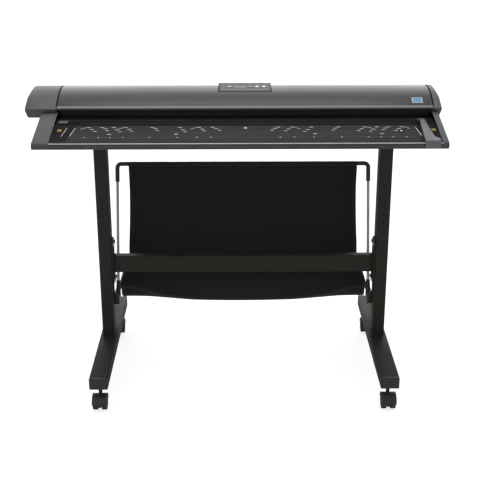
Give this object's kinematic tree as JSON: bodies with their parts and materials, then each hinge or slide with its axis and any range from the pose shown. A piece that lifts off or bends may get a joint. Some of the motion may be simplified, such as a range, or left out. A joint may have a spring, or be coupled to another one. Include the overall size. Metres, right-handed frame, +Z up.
{
  "type": "large format sheet scanner on stand",
  "caption": "Wide sheet-fed document scanner with a hinged lid and sloping feed bed, on a wheeled column stand with a cloth catch basket.",
  "frame": {"origin": "on the floor under the middle of the whole object box", "axes": "+Z up, +X to the right seen from the user side, -Y towards the user"},
  "size_m": [1.3618, 0.6614, 0.972],
  "materials": {
    "stand_paint": "satin black powder coat",
    "black_plastic": "fine textured moulding",
    "tyre": "smooth",
    "zinc": "zinc plated",
    "rod_steel": "satin chromed",
    "cloth": "woven, matt",
    "lid_paint": "satin metallic grey",
    "cap_plastic": "blue grey, satin",
    "bed_paint": "satin black, printed",
    "trim": "dark anodised",
    "sheet_steel": "galvanised",
    "roller_rubber": "ground",
    "belt_rubber": "smooth",
    "white_plastic": "smooth",
    "board": "solder mask",
    "guide_grey": "satin",
    "release_yellow": "smooth",
    "optic_glass": "polished",
    "sensor_plastic": "fine",
    "key_red": "smooth",
    "key_green": "smooth",
    "key_white": "smooth"
  },
  "bodies": {
    "frame": {"foot_left": "stand_paint", "foot_right": "stand_paint", "foot_end_caps": "black_plastic", "column_left": "stand_paint", "column_right": "stand_paint", "crossbar": "stand_paint", "crossbar_brackets": "stand_paint", "stand_bolts": "zinc", "basket_upright_left": "rod_steel", "basket_upright_right": "rod_steel", "basket_top_bar": "stand_paint", "basket_elbows": "black_plastic", "basket_sockets": "black_plastic", "basket_rear_arms": "stand_paint", "basket_rear_bar": "stand_paint", "basket_cloth": "cloth", "base_tray": "sheet_steel", "side_plates": "sheet_steel", "bed_plate": "bed_paint", "bed_front_trim": "trim", "cheek_left": "cap_plastic", "cheek_right": "cap_plastic", "rear_cover": "black_plastic", "roller_bearings": "zinc", "drive_motor": "sensor_plastic", "drive_belt": "belt_rubber", "backing_plate": "white_plastic", "main_board": "board", "power_inlet": "black_plastic", "data_ports": "zinc", "hinge_brackets": "sheet_steel", "hinge_pins": "zinc"},
    "lid": {"lid_cover": "lid_paint", "lid_cap_left": "cap_plastic", "lid_cap_right": "cap_plastic", "lid_underside": "black_plastic", "scan_glass": "optic_glass", "sensor_modules": "sensor_plastic", "panel_housing": "black_plastic"},
    "edge_guide": {"edge_guide": "guide_grey"},
    "lid_release_left": {"lid_release_left": "release_yellow"},
    "lid_release_right": {"lid_release_right": "release_yellow"},
    "feed_roller_front": {"feed_roller_front": "roller_rubber"},
    "feed_roller_rear": {"feed_roller_rear": "roller_rubber"},
    "motor_pulley": {"motor_pulley": "zinc"},
    "power_switch": {"power_switch": "black_plastic"},
    "pinch_roller_front": {"pinch_roller_front": "roller_rubber"},
    "pinch_roller_rear": {"pinch_roller_rear": "roller_rubber"},
    "stop_key": {"stop_key": "key_red"},
    "scan_key": {"scan_key": "key_green"},
    "back_key": {"back_key": "key_white"},
    "forward_key": {"forward_key": "key_white"},
    "caster_front_left": {"caster_hood_front_left": "black_plastic"},
    "wheels_front_left": {"caster_wheels_front_left": "tyre"},
    "caster_front_right": {"caster_hood_front_right": "black_plastic"},
    "wheels_front_right": {"caster_wheels_front_right": "tyre"},
    "caster_rear_left": {"caster_hood_rear_left": "black_plastic"},
    "wheels_rear_left": {"caster_wheels_rear_left": "tyre"},
    "caster_rear_right": {"caster_hood_rear_right": "black_plastic"},
    "wheels_rear_right": {"caster_wheels_rear_right": "tyre"}
  },
  "joints": [
    {"name": "lid_hinge", "type": "hinge", "parent": "frame", "child": "lid", "pos_m": [0.038, 0.25475, 0.893], "axis": [-1, 0, 0], "range_deg": [0, 60]},
    {"name": "edge_guide_slide", "type": "slide", "parent": "frame", "child": "edge_guide", "axis": [1, 0, 0], "range_m": [-0.5, 0]},
    {"name": "lid_release_left_press", "type": "slide", "parent": "frame", "child": "lid_release_left", "axis": [0, 0, -1], "range_m": [0, 0.003], "stiffness_N_per_m": 400},
    {"name": "lid_release_right_press", "type": "slide", "parent": "frame", "child": "lid_release_right", "axis": [0, 0, -1], "range_m": [0, 0.003], "stiffness_N_per_m": 400},
    {"name": "stop_key_press", "type": "slide", "parent": "lid", "child": "stop_key", "axis": [0, 0.1736, -0.9848], "range_m": [0, 0.0008], "stiffness_N_per_m": 500},
    {"name": "scan_key_press", "type": "slide", "parent": "lid", "child": "scan_key", "axis": [0, 0.1736, -0.9848], "range_m": [0, 0.0008], "stiffness_N_per_m": 500},
    {"name": "back_key_press", "type": "slide", "parent": "lid", "child": "back_key", "axis": [0, 0.1736, -0.9848], "range_m": [0, 0.0008], "stiffness_N_per_m": 500},
    {"name": "forward_key_press", "type": "slide", "parent": "lid", "child": "forward_key", "axis": [0, 0.1736, -0.9848], "range_m": [0, 0.0008], "stiffness_N_per_m": 500},
    {"name": "feed_roller_front_spin", "type": "hinge", "parent": "frame", "child": "feed_roller_front", "pos_m": [0.038, 0.06175, 0.8763], "axis": [1, 0, 0], "continuous": true},
    {"name": "feed_roller_rear_spin", "type": "hinge", "parent": "frame", "child": "feed_roller_rear", "pos_m": [0.038, 0.16675, 0.8763], "axis": [1, 0, 0], "continuous": true},
    {"name": "motor_pulley_spin", "type": "hinge", "parent": "frame", "child": "motor_pulley", "pos_m": [-0.6, 0.11425, 0.884], "axis": [1, 0, 0], "continuous": true},
    {"name": "pinch_roller_front_spin", "type": "hinge", "parent": "lid", "child": "pinch_roller_front", "pos_m": [0.038, 0.06175, 0.8966], "axis": [1, 0, 0], "continuous": true},
    {"name": "pinch_roller_rear_spin", "type": "hinge", "parent": "lid", "child": "pinch_roller_rear", "pos_m": [0.038, 0.16675, 0.8966], "axis": [1, 0, 0], "continuous": true},
    {"name": "power_switch_rock", "type": "hinge", "parent": "frame", "child": "power_switch", "pos_m": [0.488, 0.24475, 0.864], "axis": [1, 0, 0], "range_deg": [-12, 0]},
    {"name": "caster_front_left_swivel", "type": "hinge", "parent": "frame", "child": "caster_front_left", "pos_m": [-0.438, -0.28325, 0.07], "axis": [0, 0, 1], "continuous": true},
    {"name": "wheels_front_left_spin", "type": "hinge", "parent": "caster_front_left", "child": "wheels_front_left", "pos_m": [-0.438, -0.30125, 0.025], "axis": [1, 0, 0], "continuous": true},
    {"name": "caster_front_right_swivel", "type": "hinge", "parent": "frame", "child": "caster_front_right", "pos_m": [0.502, -0.28325, 0.07], "axis": [0, 0, 1], "continuous": true},
    {"name": "wheels_front_right_spin", "type": "hinge", "parent": "caster_front_right", "child": "wheels_front_right", "pos_m": [0.502, -0.30125, 0.025], "axis": [1, 0, 0], "continuous": true},
    {"name": "caster_rear_left_swivel", "type": "hinge", "parent": "frame", "child": "caster_rear_left", "pos_m": [-0.438, 0.28975, 0.07], "axis": [0, 0, 1], "continuous": true},
    {"name": "wheels_rear_left_spin", "type": "hinge", "parent": "caster_rear_left", "child": "wheels_rear_left", "pos_m": [-0.438, 0.27175, 0.025], "axis": [1, 0, 0], "continuous": true},
    {"name": "caster_rear_right_swivel", "type": "hinge", "parent": "frame", "child": "caster_rear_right", "pos_m": [0.502, 0.28975, 0.07], "axis": [0, 0, 1], "continuous": true},
    {"name": "wheels_rear_right_spin", "type": "hinge", "parent": "caster_rear_right", "child": "wheels_rear_right", "pos_m": [0.502, 0.27175, 0.025], "axis": [1, 0, 0], "continuous": true}
  ],
  "couplings": [
    {"joint": "feed_roller_rear_spin", "follows": "feed_roller_front_spin", "ratio": 1},
    {"joint": "motor_pulley_spin", "follows": "feed_roller_front_spin", "ratio": 1.5}
  ]
}
